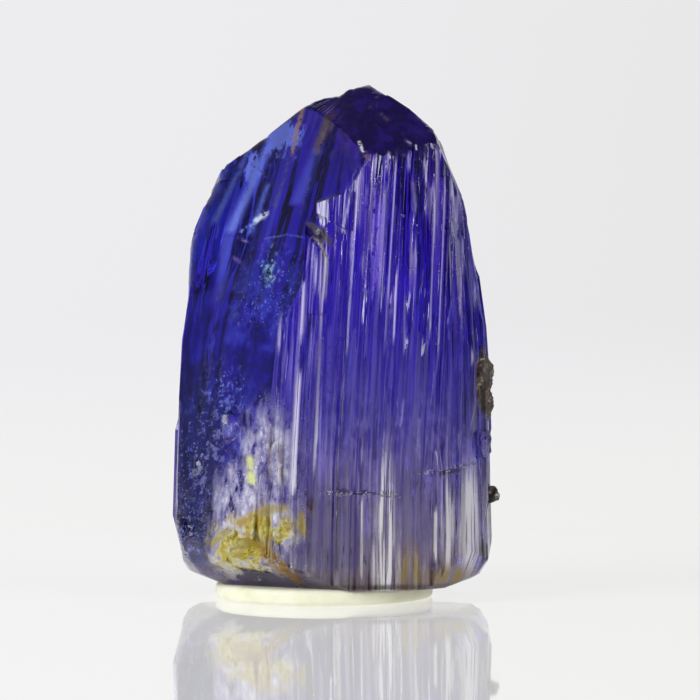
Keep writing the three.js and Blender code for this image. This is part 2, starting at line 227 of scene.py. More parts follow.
# feathers of tiny cracks, and the shade under the tip
GLOW = [((-3.7, -3.6, 18.2), (2.6, 2.6, 3.4), 0.6)]
FEATHER = [
    ((-3.6, -3.6, 18.2), (2.4, 2.6, 2.6), 0.6),
    ((-8.0, -3.0, 6.5), (2.2, 3.0, 6.0), 0.5),
    ((-6.2, -2.6, 12.2), (1.4, 2.6, 1.6), 0.5),
]
SHEEN = [((-3.8, -3.4, 19.4), (0.45, 2.0, 1.3), 0.5)]
SHADED_TOP = [((0.6, -1.5, 26.6), (1.9, 4.0, 3.2), 0.45)]
# Fine cracks: [x, z] of the middle, half length, slope.
FOOT_CRACKS = [((1.6, 6.5), 2.4, -0.03), ((6.4, 7.9), 2.1, 0.12)]


class Coat:
    """The crystal's colour and how milky it is, as layers are painted over each other."""

    def __init__(self, tree, tint):
        self.tree = tree
        self.tint = tint
        self.veil = calc(tree, "ADD", 0.0, 0.0)  # nothing is milky at first

    def lay(self, mask, shade, veil=0.0, strength=1.0):
        """Lays a hex colour or a colour socket over the tint where the mask is 1; veil is its opacity."""
        tree = self.tree
        share = calc(tree, "MULTIPLY", mask, strength) if strength < 1 else mask
        high = colour(shade) if isinstance(shade, str) else shade
        self.tint = blend(tree, share, self.tint, high)
        mixer = add(tree, "ShaderNodeMix", Factor=share, _2=self.veil, _3=veil)
        self.veil = mixer.outputs[0]


WANDER = (1.8, 2.0, 3.4)  # how far the noises push a patch's outline about, in millimetres
FIBRE_SQUEEZE = 0.4  # patterns are drawn out along the height by these shares
RIB_SQUEEZE = 0.03
LANE_SQUEEZE = 0.06
LANE_LEAN = 0.3  # millimetres to the right for each millimetre up
LEFT_RISE = 4.0  # the colour zones lie this much lower on the left, in millimetres


def read_places(tree):
    """What the crystal's patterns are placed by, in millimetres, and the noises that they share."""
    place = add(tree, "ShaderNodeTexCoord").outputs["Object"]
    grid = add(tree, "ShaderNodeVectorMath", {"operation": "SCALE"}, _0=place, Scale=1000.0).outputs[0]
    axes = add(tree, "ShaderNodeSeparateXYZ", Vector=grid).outputs
    stretched = add(
        tree, "ShaderNodeVectorMath", {"operation": "MULTIPLY"}, _0=grid, _1=(1.0, 1.0, FIBRE_SQUEEZE),
    )
    fibres = grain(tree, stretched.outputs[0], 0.45, 3.0, 0.65)
    coarse = grain(tree, grid, 1.3, 3.0, 0.65, 5.0)
    # places pushed about by the noises, for uneven outlines
    wander = add(tree, "ShaderNodeCombineXYZ", X=fibres, Y=coarse, Z=coarse).outputs[0]
    half_way = [reach / 2 for reach in WANDER]
    unmoved = add(tree, "ShaderNodeVectorMath", {"operation": "SUBTRACT"}, _0=grid, _1=half_way).outputs[0]
    spot = add(
        tree, "ShaderNodeVectorMath", {"operation": "MULTIPLY_ADD"}, _0=wander, _1=WANDER, _2=unmoved,
    ).outputs[0]
    # distance around the crystal, constant along one striation
    rise = calc(tree, "SUBTRACT", axes["Z"], LEAN_CHANGE / MM)
    upper = calc(tree, "MULTIPLY", calc(tree, "MAXIMUM", rise, 0.0), LEAN_ABOVE)
    lower = calc(tree, "MULTIPLY", calc(tree, "MINIMUM", rise, 0.0), LEAN_BELOW)
    across = calc(tree, "SUBTRACT", axes["X"], calc(tree, "ADD", upper, lower))
    turn = calc(tree, "ARCTAN2", across, calc(tree, "MULTIPLY", axes["Y"], -1.0))
    distance = calc(tree, "MULTIPLY", turn, GIRTH_RADIUS / MM)
    height = calc(tree, "MULTIPLY", axes["Z"], RIB_SQUEEZE)
    ribs = add(tree, "ShaderNodeCombineXYZ", X=distance, Y=height).outputs[0]
    # painted light and dark lanes in the window, standing for the back's ribs seen through it, lean to the
    # right
    slant = calc(tree, "MULTIPLY_ADD", axes["Z"], -LANE_LEAN, axes["X"])
    rising = calc(tree, "MULTIPLY", axes["Z"], LANE_SQUEEZE)
    lanes = add(tree, "ShaderNodeCombineXYZ", X=slant, Y=rising).outputs[0]
    spot_axes = add(tree, "ShaderNodeSeparateXYZ", Vector=spot).outputs
    left = calc(tree, "MULTIPLY", fade(tree, spot_axes["X"], 1.0, -5.0), LEFT_RISE)
    window = add(tree, "ShaderNodeAttribute", {"attribute_name": "window"}).outputs["Fac"]
    facing = fade(tree, axes["Y"], 2.0, 0.5)
    return SimpleNamespace(
        grid=grid, x=axes["X"], z=axes["Z"], spot=spot,
        level=calc(tree, "ADD", spot_axes["Z"], left),
        window=window,
        facing=facing,
        front=both(tree, facing, calc(tree, "SUBTRACT", 1.0, window)),
        # painted highlights of single ribs, written per vertex
        highlight_bars=add(tree, "ShaderNodeAttribute", {"attribute_name": "highlight_bars"}).outputs["Fac"],
        # painted light stripes of the window, written per vertex
        painted_light_bands=add(tree, "ShaderNodeAttribute", {"attribute_name": "painted_light_bands"}).outputs["Fac"],
        lanes=grain(tree, lanes, 0.85, 2.0, 0.5, 3.0),
        deep=grain(tree, ribs, 0.9, 1.0, 0.5, 13.0),
        broad=grain(tree, ribs, 0.6, 1.0),
        thin=grain(tree, ribs, 0.17, 1.0, 0.5, 7.0),
        fibres=fibres,
        coarse=coarse,
        fine=grain(tree, grid, 0.4, 3.0, 0.7, 2.0),
        specks=grain(tree, grid, 0.15, 1.0, 0.5, 3.0),
    )


def shade_ramp(tree, value, *stops):
    """A colour ramp over a value; its stops are (position, hex colour)."""
    ramp = add(tree, "ShaderNodeValToRGB", Fac=value)
    spread(ramp.color_ramp, *stops)
    return ramp.outputs["Color"]


def lay_striations(tree, at, coat, along):
    """Pale and dark lines along the ribs of the front, calmer in the middle of its height; the pale lines
    are partly the ribs' own paler colour and partly painted reflections, and the near-white lines and
    sparkles high up are painted glints.
    """
    pale = shade_ramp(
        tree, along,
        (0.0, "#d8cec2"), (0.14, "#dcd8e2"), (0.28, "#9c90c8"),
        (0.4, "#6e5cda"), (0.7, "#8664ea"), (1.0, "#7c58e4"),
    )
    dark = shade_ramp(
        tree, along,
        (0.0, "#3c3028"), (0.14, "#3c3450"), (0.3, "#332a70"), (0.45, "#281e8c"), (1.0, "#200c78"),
    )
    middle = both(tree, fade(tree, at.z, 8.0, 11.0), fade(tree, at.z, 20.0, 15.0))
    lined = both(tree, at.front, calc(tree, "MULTIPLY_ADD", middle, -0.5, 1.0))
    haze = both(tree, at.front, fade(tree, at.z, 1.0, 5.0), fade(tree, at.z, 14.0, 9.0))
    coat.lay(broken(tree, at.front, at.deep, 0.5, 0.64), dark, 0.0, 0.6)
    coat.lay(broken(tree, haze, at.fibres, 0.47, 0.62), "#9488d0", 0.3, 0.5)
    coat.lay(broken(tree, haze, at.coarse, 0.5, 0.66), "#a294d8", 0.3, 0.5)
    # the pale lines: partly the ribs' own colour, partly painted reflections of the lamps
    coat.lay(broken(tree, lined, at.broad, 0.52, 0.66), pale, 0.1, 0.7)
    coat.lay(broken(tree, lined, at.thin, 0.55, 0.66), pale, 0.4, 0.8)
    coat.lay(broken(tree, area(tree, at.grid, LILAC_WEDGE), at.thin, 0.46, 0.6), "#a094e6", 0.35, 0.75)
    # painted glints: near-white lines and sparkles on the upper ribs
    high = both(tree, at.front, fade(tree, at.z, 18.0, 21.0))
    coat.lay(broken(tree, high, at.thin, 0.6, 0.68), "#cabcf8", 0.7, 0.85)
    sparkling = broken(tree, broken(tree, high, at.thin, 0.5, 0.6), at.specks, 0.68, 0.74)
    coat.lay(sparkling, "#e8e4ff", 0.8, 0.9)


def lay_window(tree, at, coat):
    """The smooth face: painted light and dark stripes above, standing for the back's ribs seen through it,
    and mottled deep blue below.
    """
    upper = both(tree, at.window, fade(tree, at.z, 15.5, 21.0))
    lower = both(tree, at.window, fade(tree, at.z, 20.0, 16.0))
    coat.lay(at.window, "#1c1fb8", 0.0, 0.6)
    # painted light and shade: dark and light lanes standing for the back's ribs seen through the window
    coat.lay(both(tree, upper, fade(tree, at.lanes, 0.48, 0.36)), "#1b1594", 0.05, 0.65)
    coat.lay(broken(tree, upper, at.lanes, 0.56, 0.66), "#5560f0", 0.12, 0.7)
    sky = broken(tree, both(tree, area(tree, at.spot, THIN_SKY), at.window), at.fibres, 0.34, 0.42)
    coat.lay(sky, "#7388f4", 0.5, 0.9)
    # painted light stripes, standing for the back's ribs seen through the window
    coat.lay(at.painted_light_bands, "#7088ff", 0.5, 0.9)
    coat.lay(lower, "#16159a", 0.0, 0.75)
    coat.lay(broken(tree, lower, at.coarse, 0.47, 0.62), "#2c38d8", 0.08, 0.85)
    coat.lay(both(tree, lower, fade(tree, at.coarse, 0.46, 0.36)), "#0c0c54", 0.0, 0.8)
    coat.lay(both(tree, area(tree, at.spot, SHADED_TOP), at.window), "#150b5a", 0.06, 0.85)


def lay_roof(tree, at, coat):
    """The dark termination: deep violet with brown films."""
    roof = both(tree, fade(tree, at.z, 25.6, 26.8), fade(tree, at.x, -0.8, 0.8))
    coat.lay(roof, "#331694", 0.14)
    coat.lay(broken(tree, roof, at.coarse, 0.5, 0.62), "#4a28cc", 0.2, 0.7)
    coat.lay(broken(tree, area(tree, at.spot, TARNISH), at.fine, 0.5, 0.62), "#3c2a24", 0.45, 0.75)


def lay_cloud(tree, at, coat):
    """Clouded and iron-stained ground above the foot, on the left."""
    cloud = area(tree, at.spot, CLOUD)
    curds = calc(tree, "MULTIPLY", calc(tree, "ADD", at.fibres, at.coarse), 0.5)
    mist = shade_ramp(
        tree, curds, (0.38, "#565090"), (0.45, "#7d77ac"), (0.52, "#aaa6c8"), (0.6, "#e0deec"),
    )
    coat.lay(broken(tree, cloud, curds, 0.36, 0.46), mist, 0.85)
    coat.lay(broken(tree, cloud, at.specks, 0.66, 0.74), "#f0eefa", 0.9, 0.8)
    shades = shade_ramp(
        tree, calc(tree, "MULTIPLY_ADD", at.coarse, 0.6, calc(tree, "MULTIPLY", at.fibres, 0.4)),
        (0.39, "#7a5c12"), (0.45, "#a8941c"), (0.485, "#bfb64c"), (0.515, "#ccc8a4"), (0.55, "#c6c2c4"),
        (0.6, "#8e86ac"),
    )
    coat.lay(broken(tree, area(tree, at.spot, STAIN), at.fine, 0.3, 0.38), shades, 0.97)


def lay_crack(tree, at, coat, middle, half_length, slope):
    """A fine crack across the face: painted glints along its edges, and painted shade in a dark line where
    it opens.
    """
    aside = calc(tree, "SUBTRACT", at.x, middle[0])
    wobble = calc(tree, "MULTIPLY_ADD", at.coarse, 0.8, middle[1] - 0.4)
    line = calc(tree, "MULTIPLY_ADD", aside, slope, wobble)
    away = calc(tree, "ABSOLUTE", calc(tree, "SUBTRACT", at.z, line))
    ends = fade(tree, calc(tree, "ABSOLUTE", aside), half_length, half_length * 0.8)
    reach = both(tree, ends, at.facing)
    # painted glints along the crack
    glinting_edges = both(tree, fade(tree, away, 0.14, 0.06), reach)
    coat.lay(broken(tree, glinting_edges, at.specks, 0.53, 0.62), "#dcd6f0", 0.7)
    # painted shade in the opening of the crack
    coat.lay(both(tree, fade(tree, away, 0.07, 0.03), reach), "#1e1630", 0.5, 0.7)


def lay_foot(tree, at, coat):
    """The pale foot: clear white columns, violet between them, honey-brown along the bottom edge."""
    coat.lay(area(tree, at.spot, VIOLET_FOOT), "#4a407c", 0.0, 0.75)
    coat.lay(both(tree, fade(tree, at.z, 2.5, 1.7), at.facing), "#847688", 0.55, 0.75)
    coat.lay(broken(tree, area(tree, at.grid, COLUMNS), at.thin, 0.36, 0.52), "#f4f2f4", 0.7, 0.95)
    coat.lay(broken(tree, area(tree, at.grid, HONEY), at.thin, 0.36, 0.52), "#8e7400", 0.8, 0.95)
    for crack in FOOT_CRACKS:
        lay_crack(tree, at, coat, *crack)
    rim = both(tree, fade(tree, at.z, 1.35, 1.1), fade(tree, at.z, 0.92, 0.98))  # not the flat underside
    coat.lay(rim, "#4a3424", 0.5, 0.8)


def lay_dark_side(tree, at, coat):
    """The lower left: navy, with a grey rim and crumbs of pale ground."""
    coat.lay(area(tree, at.spot, NAVY), "#10185c", 0.08)
    coat.lay(area(tree, at.spot, FLANK), "#5c5c90", 0.3, 0.5)
    coat.lay(area(tree, at.spot, ROUNDED_FOOT), "#4c4670", 0.55, 0.85)
    coat.lay(broken(tree, area(tree, at.spot, NAVY), at.fine, 0.5, 0.66), "#2a3a94", 0.12, 0.7)
    coat.lay(broken(tree, area(tree, at.spot, CRUMBS), at.fine, 0.48, 0.64), "#7a7c9c", 0.5, 0.85)
    coat.lay(broken(tree, area(tree, at.spot, PUFFS), at.fine, 0.46, 0.64), "#6c80e2", 0.4, 0.85)


def lay_chipped_knee(tree, at, coat):
    """What is left of a flake: a white ribbed block, and pale stripes under it."""
    coat.lay(broken(tree, area(tree, at.grid, BLOCK), at.thin, 0.4, 0.5), "#e4e2fa", 0.8, 0.95)
    knee = area(tree, at.grid, STRIPED_KNEE)
    coat.lay(broken(tree, knee, at.thin, 0.42, 0.54), "#cfcbe0", 0.7, 0.85)


def lay_feathers(tree, at, coat):
    """Tiny bright cracks inside the window and on the dark left side, and a many-coloured sheen."""
    glow = both(tree, area(tree, at.spot, GLOW), at.window)
    coat.lay(broken(tree, glow, at.coarse, 0.44, 0.58), "#3c4ce6", 0.2, 0.8)
    feather = area(tree, at.spot, FEATHER)
    crumbs = broken(tree, broken(tree, feather, at.fine, 0.44, 0.6), at.specks, 0.5, 0.72)
    coat.lay(crumbs, "#8498f0", 0.6, 0.85)
    coat.lay(broken(tree, feather, at.fine, 0.58, 0.7), "#5c78f0", 0.4, 0.7)
    sheen = broken(tree, area(tree, at.spot, SHEEN), at.fine, 0.47, 0.6)
    hues = shade_ramp(
        tree, at.specks, (0.3, "#5a8cf4"), (0.45, "#86d0f0"), (0.55, "#a8e0c0"), (0.7, "#e8e8d0"),
    )
    coat.lay(sheen, hues, 0.5, 0.75)


CRYSTAL_HEIGHT = 30.0  # the colour zones are spread over it, in millimetres
ZOISITE_IOR = 1.69
ABSORBED_FROM = "#a59ce2"
ABSORPTION = 42.0  # per metre of way through the stone
FILM_VEIL = 0.88


def tanzanite_material():
    """Gem-clear zoisite, grown faces and broken foot: vitreous, IOR 1.69, strongly coloured."""
    material, tree = new_material("tanzanite_zoisite_rough")
    at = read_places(tree)
    along = add(tree, "ShaderNodeMapRange", Value=at.level, From_Max=CRYSTAL_HEIGHT).outputs["Result"]
    zones = shade_ramp(
        tree, along,
        (0.0, "#7e706c"), (0.13, "#7c7088"), (0.24, "#5a4e8c"), (0.34, "#4638a0"),
        (0.5, "#3628b0"), (0.7, "#381ebe"), (1.0, "#3014a8"),
    )
    coat = Coat(tree, zones)
    coat.lay(area(tree, at.spot, THIN_SIDE), "#4a50e0", 0.0, 0.8)
    lay_striations(tree, at, coat, along)
    lay_window(tree, at, coat)
    lay_roof(tree, at, coat)
    lay_dark_side(tree, at, coat)
    lay_feathers(tree, at, coat)
    lay_foot(tree, at, coat)
    lay_cloud(tree, at, coat)
    # painted shade in the hollow under the foot
    coat.lay(area(tree, at.spot, SHADED_UNDERCUT), "#30264e", 0.4, 0.85)
    # painted highlights: near-white stripes on single ribs, where the lamps would glint
    white = shade_ramp(tree, along, (0.0, "#f2efe8"), (0.3, "#f2effb"), (0.6, "#dcd2fc"), (1.0, "#d6cafa"))
    coat.lay(at.highlight_bars, white, 0.8)
    lay_chipped_knee(tree, at, coat)
    films = add(tree, "ShaderNodeAttribute", {"attribute_name": "films"})
    coat.lay(broken(tree, films.outputs["Alpha"], at.fine, 0.36, 0.46), films.outputs["Color"], FILM_VEIL)
    rock = shade_ramp(
        tree, at.fine, (0.35, "#140e10"), (0.49, "#30241e"), (0.59, "#5e4a34"), (0.7, "#ccc4c0"),
    )
    coat.lay(area(tree, at.grid, HOST_ROCK), rock, 1.0)

    # milky or stained ground scatters light, and the middle of the crystal is a little etched
    clear = add(tree, "ShaderNodeMapRange", Value=coat.veil, To_Min=0.98, To_Max=0.0).outputs["Result"]
    lower = fade(tree, at.z, 20.5, 16.5)
    etched = calc(tree, "MULTIPLY", both(tree, at.window, lower), 0.1)
    dull = both(tree, fade(tree, at.z, 7.0, 10.0), fade(tree, at.z, 18.0, 13.0), at.front)
    worn = calc(tree, "MULTIPLY_ADD", dull, 0.07, etched)
    milky = add(tree, "ShaderNodeMapRange", Value=coat.veil, To_Min=0.04, To_Max=0.5).outputs["Result"]
    surface = add(
        tree, "ShaderNodeBsdfPrincipled",
        Base_Color=coat.tint, Roughness=calc(tree, "ADD", worn, milky), IOR=ZOISITE_IOR,
        Transmission_Weight=clear,
    )
    absorb = add(tree, "ShaderNodeVolumeAbsorption", Color=colour(ABSORBED_FROM), Density=ABSORPTION)
    add(
        tree, "ShaderNodeOutputMaterial",
        Surface=surface.outputs["BSDF"], Volume=absorb.outputs["Volume"],
    )
    return material


def putty_material():
    """Mounting putty, pressed flat by hand: matt, slightly waxy, a little dusty."""
    material, tree = new_material("mounting_putty_cream")
    place = add(tree, "ShaderNodeTexCoord").outputs["Object"]
    grid = add(tree, "ShaderNodeVectorMath", {"operation": "SCALE"}, _0=place, Scale=1000.0).outputs[0]
    mottle = add(tree, "ShaderNodeValToRGB", Fac=grain(tree, grid, 1.4, 4.0, 0.6))
    spread(mottle.color_ramp, (0.3, "#f0f1d2"), (0.55, "#fafbe2"), (0.75, "#fefef0"))
    dust = fade(tree, grain(tree, grid, 0.14, 2.0, 0.5, 6.0), 0.72, 0.78)
    tint = blend(tree, calc(tree, "MULTIPLY", dust, 0.5), mottle.outputs["Color"], colour("#8f8a70"))
    dents = add(
        tree, "ShaderNodeBump",
        Height=grain(tree, grid, 0.5, 4.0, 0.6, 1.0), Strength=0.35, Distance=0.06 * MM,
    )
    surface = add(
        tree, "ShaderNodeBsdfPrincipled", Base_Color=tint, Roughness=0.6, Normal=dents.outputs["Normal"],
    )
    add(tree, "ShaderNodeOutputMaterial", Surface=surface.outputs["BSDF"])
    return material


SHEET_GLOW = 1.14
GLOW_SHARE = 0.7
POLISH = 0.46  # how mirror-like the flat part is


def backdrop_material():
    """White acrylic, lit from behind as well: even and pale, glossy where it lies flat."""
    material, tree = new_material("white_acrylic_sheet")
    matt = add(tree, "ShaderNodeBsdfDiffuse", Color=colour("#f2f2f2"))
    spot = add(tree, "ShaderNodeTexCoord").outputs["Object"]
    place = add(tree, "ShaderNodeSeparateXYZ", Vector=spot).outputs
    cool = blend(tree, fade(tree, place["X"], -0.1, 0.12), colour("#fbfafd"), colour("#f5f4f5"))
    cool = blend(tree, fade(tree, place["X"], 0.12, 0.4), cool, colour("#9c9ca2"))
    tone = blend(tree, fade(tree, place["Y"], 0.05, 0.3), colour("#fbfbf8"), cool)
    glow = add(tree, "ShaderNodeEmission", Color=tone, Strength=SHEET_GLOW)
    lit = add(tree, "ShaderNodeMixShader", Fac=GLOW_SHARE, _1=matt.outputs[0], _2=glow.outputs[0])
    gloss = add(tree, "ShaderNodeBsdfGlossy", Color=(1, 1, 1, 1), Roughness=0.035)
    polish = calc(tree, "MULTIPLY", fade(tree, place["Y"], 0.3, 0.03), POLISH)
    mix = add(tree, "ShaderNodeMixShader", Fac=polish, _1=lit.outputs[0], _2=gloss.outputs[0])
    add(tree, "ShaderNodeOutputMaterial", Surface=mix.outputs[0])
    return material


# --- Crystal ----------------------------------------------------------------------------------
def show(mesh_shape, name, material):
    """Turns a bmesh into a visible piece."""
    mesh = bpy.data.meshes.new(name)
    mesh_shape.to_mesh(mesh)
    mesh_shape.free()
    mesh.materials.append(material)
    piece = bpy.data.objects.new(name, mesh)
    scene.collection.objects.link(piece)
    return piece


def drift(z):
    """How far the growth direction has carried a place to the right at this height."""
    rise = z - LEAN_CHANGE
    return rise * (LEAN_ABOVE if rise > 0 else LEAN_BELOW)


def around(place):
    """Distance around the crystal, constant along one striation."""
    return GIRTH_RADIUS * math.atan2(place.x - drift(place.z), -place.y)


def direction(turned, tilted):
    """The way that a face looks, from its turn away from the front and its tilt upwards in degrees."""
    turn = math.radians(turned)
    tilt = math.radians(tilted)
    return Vector((math.sin(turn) * math.cos(tilt), -math.cos(turn) * math.cos(tilt), math.sin(tilt)))


WINDOW_NORMALS = [direction(-43, 19.6), direction(-43.6, 12.5), direction(-44.3, 5.6)]
ALIGNED = 0.9994  # the least dot product of two normals that count as one
STEEPEST_RIB = 0.12  # how far a ribbed face may look up or down
STEEPEST_BACK_RIB = 0.36
BACK_TURN = 0.2  # a normal that points further back than this belongs to the back


def is_window(face):
    """Whether a face of the CAD solid belongs to the smooth window."""
    return any(face.normal.dot(normal) > ALIGNED for normal in WINDOW_NORMALS)


def is_striated(face):
    """Whether a face of the CAD solid belongs to the ribbed prism rather than to a smooth cut."""
    if is_window(face):
        return False
    steepest = STEEPEST_RIB if face.normal.y < BACK_TURN else STEEPEST_BACK_RIB
    return abs(face.normal.z) < steepest


# Ribs: width and length, and their place in the noise. Then how deep each kind is, in millimetres.
BROAD_RIBS = (0.5 * MM, 40 * MM, 3.1)
MIDDLE_RIBS = (0.22 * MM, 25 * MM, 11.7)
FINE_RIBS = (0.11 * MM, 15 * MM, 23.9)
BROAD_DEPTH = 0.022
MIDDLE_DEPTH = 0.02
FINE_DEPTH = 0.008
BACK_DEPTH = 0.012
RIB_ROUNDNESS = 0.7
# The ribs are flatter between two heights, in millimetres, and ease over to that.
CALM_FROM = 6
CALM_TO = 20
CALM_EASE = 3
CALM_SHARE = 0.6


def groove_noise(distance, height, width, length, seed):
    """Ribs as a depth from 0 to 1: sharp grooves, rounded crests, long along the growth direction."""
    value = noise.noise(Vector((distance / width, height / length, seed)))
    return abs(value) ** RIB_ROUNDNESS


def stria_depth(place):
    """How deep the ribs are at a place of the prism, in metres."""
    distance = around(place)
    broad = groove_noise(distance, place.z, *BROAD_RIBS)
    middle = groove_noise(distance, place.z, *MIDDLE_RIBS)
    fine = groove_noise(distance, place.z, *FINE_RIBS)
    patchy = 0.5 + 0.5 * noise.noise(Vector((distance / (2 * MM), place.z / (6 * MM), 5.5)))
    if place.y > 0:  # the back is smoother, and its ribs are seen through the window
        return BACK_DEPTH * broad * (0.5 + patchy) * MM
    calm = min(1, max(0, min(place.z / MM - CALM_FROM, CALM_TO - place.z / MM) / CALM_EASE))
    ribs = BROAD_DEPTH * broad + MIDDLE_DEPTH * middle + FINE_DEPTH * fine
    return ribs * (0.5 + patchy) * (1 - CALM_SHARE * calm) * MM


# How finely the solid is divided: cuts of each ribbed edge, then the longest edges left on the other
# faces after each pass, in millimetres. The last pass is kept to broken ground and the edge of the roof.
RIB_CUTS = 3
DIVISIONS = (3, 1.5, 0.8, 0.5, 0.32)
BAND_FINENESS = 0.3 * MM
BANDS_ABOVE = 19 * MM  # the window is divided to that fineness above this height
BACK_FROM = 1.5 * MM  # behind this, only the passes coarser than the next value divide a face
BACK_FINENESS = 0.5

MERGE_WITHIN = 0.0005 * MM
SHARP_ANGLE = math.radians(24)
BASE_TOP = 1.0 * MM  # below this the foot lies flat on the putty
BASE_EASE = 0.4 * MM
CRACK_HEIGHT = 7.0 * MM  # the ground sways up and down along the crack
CRACK_REACH = 2.5 * MM
CRACK_SWAY = 0.22 * MM
FRONT_UP_TO = 1 * MM  # strokes are painted in front of this
ROOF_FROM = 26  # the roof lies above this height and right of the next value, in millimetres
ROOF_LEFT = -1
ROOF_BULGE = 0.05
FACE_BULGE = 0.012
UPRIGHT_SHARE = 0.3  # places move less up and down than sideways
WEAR_PASSES = 3
SETTLE_PASSES = 4
# Ribs are evened out between these heights, in millimetres.
CALM_STEPS = [(7.5, 20), (8.5, 18.5), (9.5, 17)]

# Rough, broken ground: [centre, half sizes, depth], in millimetres.
ROUGH_GROUND = [
    ((-4.6, -5.2, 3.0), (3.6, 3.0, 3.2), 0.16),
    ((-4.2, -5.2, 7.6), (2.4, 2.4, 3.2), 0.08),
    ((-9.0, -2.0, 3.4), (2.0, 3.5, 3.2), 0.12),
    ((9.6, -1.6, 12.6), (1.5, 2.4, 2.6), 0.2),
    ((9.8, -1.0, 6.2), (1.0, 1.4, 1.2), 0.15),
    ((0.0, 5.0, 2.0), (9.0, 3.0, 2.2), 0.14),
]
# Single places in the same way, without a depth.
SETTLED_GROUND = ((-4.4, -5.2, 6.4), (1.5, 2.5, 5.0))  # where ribs are worn away under the cloud
SHOULDER = ((-8.6, 1.5, 22.2), (4.2, 7.0, 4.4))  # where the left shoulder is full and round
SHOULDER_SWELL = 0.45 * MM
ROOF_EDGE = ((2.6, -4.0, 26.5), (2.4, 3.0, 1.1))  # finely divided, for its painted glints and gold dust


def nearness(place, centre, half_sizes):
    """1 inside an ellipsoid, falling to 0 at its edge."""
    offset = [(place[i] / MM - centre[i]) / half_sizes[i] for i in range(3)]
    return min(1, max(0, 1.5 - 1.5 * math.sqrt(sum(part * part for part in offset))))


def roughness_at(place):
    """How deep the ground is broken up here, in metres."""
    depths = [depth * nearness(place, centre, half_sizes) for centre, half_sizes, depth in ROUGH_GROUND]
    return max(depths) * MM


# Painted highlights on the ribbed front, standing for the lamps' reflections on single ribs: [x, z] of the
# top and of the foot, half width and strength, in millimetres.
HIGHLIGHT_BARS = [
    ((-2.15, 13.6), (-2.5, 6.6), 0.17, 1.0),
    ((-0.75, 18.7), (-1.25, 7.9), 0.09, 0.8),
    ((-0.95, 15.4), (-1.05, 13.6), 0.2, 0.5),
    ((-3.2, 17.5), (-3.3, 14.9), 0.09, 0.8),
    ((-1.85, 18.8), (-1.95, 15.6), 0.12, 0.75),
    ((-4.65, 11.3), (-4.85, 8.8), 0.09, 0.9),
    ((1.45, 25.5), (1.25, 22.1), 0.2, 0.55),
    ((1.05, 24.65), (0.4, 21.75), 0.08, 0.9),
    ((2.9, 24.4), (2.6, 18.5), 0.07, 0.8),
    ((3.55, 26.1), (2.9, 15.2), 0.06, 0.8),
    ((3.55, 19.5), (3.4, 15.7), 0.07, 0.9),
    ((4.05, 18.2), (4.0, 14.8), 0.06, 0.6),
    ((5.95, 26.7), (5.9, 21.5), 0.11, 0.7),
    ((5.2, 25.9), (5.3, 24.4), 0.09, 1.0),
    ((4.5, 24.7), (4.65, 22.9), 0.1, 0.9),
    ((5.6, 24.3), (5.3, 23.1), 0.09, 1.0),
    ((4.25, 26.3), (4.3, 25.2), 0.08, 0.9),
    ((6.9, 25.2), (6.75, 23.6), 0.07, 0.8),
    ((2.35, 26.2), (2.3, 24.9), 0.08, 0.8),
    ((3.1, 26.4), (3.05, 25.3), 0.07, 0.8),
    ((6.4, 25.2), (6.0, 14.8), 0.07, 0.6),
    ((5.8, 23.6), (5.5, 15.7), 0.07, 0.6),
    ((7.25, 24.1), (7.05, 22.3), 0.08, 0.8),
    ((7.45, 21.3), (7.25, 16.9), 0.07, 0.7),
    ((8.2, 18.7), (8.2, 17.2), 0.07, 0.6),
    ((8.0, 14.8), (8.0, 14.0), 0.08, 0.8),
    ((0.8, 18.2), (0.7, 14.9), 0.06, 0.45),
    ((1.65, 20.4), (1.6, 19.2), 0.09, 0.7),
    ((2.15, 24.6), (2.0, 20.7), 0.06, 0.7),
    ((-1.05, 12.6), (-1.1, 9.5), 0.08, 0.9),
    ((-1.0, 23.55), (-1.0, 22.35), 0.06, 1.0),
    ((-0.8, 23.7), (-0.82, 22.1), 0.06, 1.0),
    ((-0.58, 23.9), (-0.62, 21.9), 0.07, 0.9),
    ((-1.08, 20.7), (-1.2, 18.3), 0.06, 1.0),
    ((-0.82, 20.7), (-0.9, 17.9), 0.05, 0.9),
    ((-0.55, 20.3), (-0.65, 18.2), 0.05, 0.9),
    ((1.55, 6.2), (1.5, 1.8), 0.06, 0.8),
    ((5.8, 5.5), (5.75, 2.7), 0.1, 0.8),
]
# Painted light stripes in the window, standing for the back's ribs seen through it, in the same way.
PAINTED_LIGHT_BANDS = [
    ((-5.25, 26.45), (-6.95, 22.1), 0.2, 0.7),
    ((-3.95, 26.85), (-6.15, 21.5), 0.27, 1.0),
    ((-6.15, 21.5), (-7.0, 17.5), 0.3, 0.5),
    ((-3.95, 24.55), (-5.05, 21.5), 0.15, 0.9),
    ((-1.05, 26.5), (-2.35, 23.3), 0.35, 0.5),
    ((-7.2, 24.05), (-7.85, 21.85), 0.08, 0.6),
]
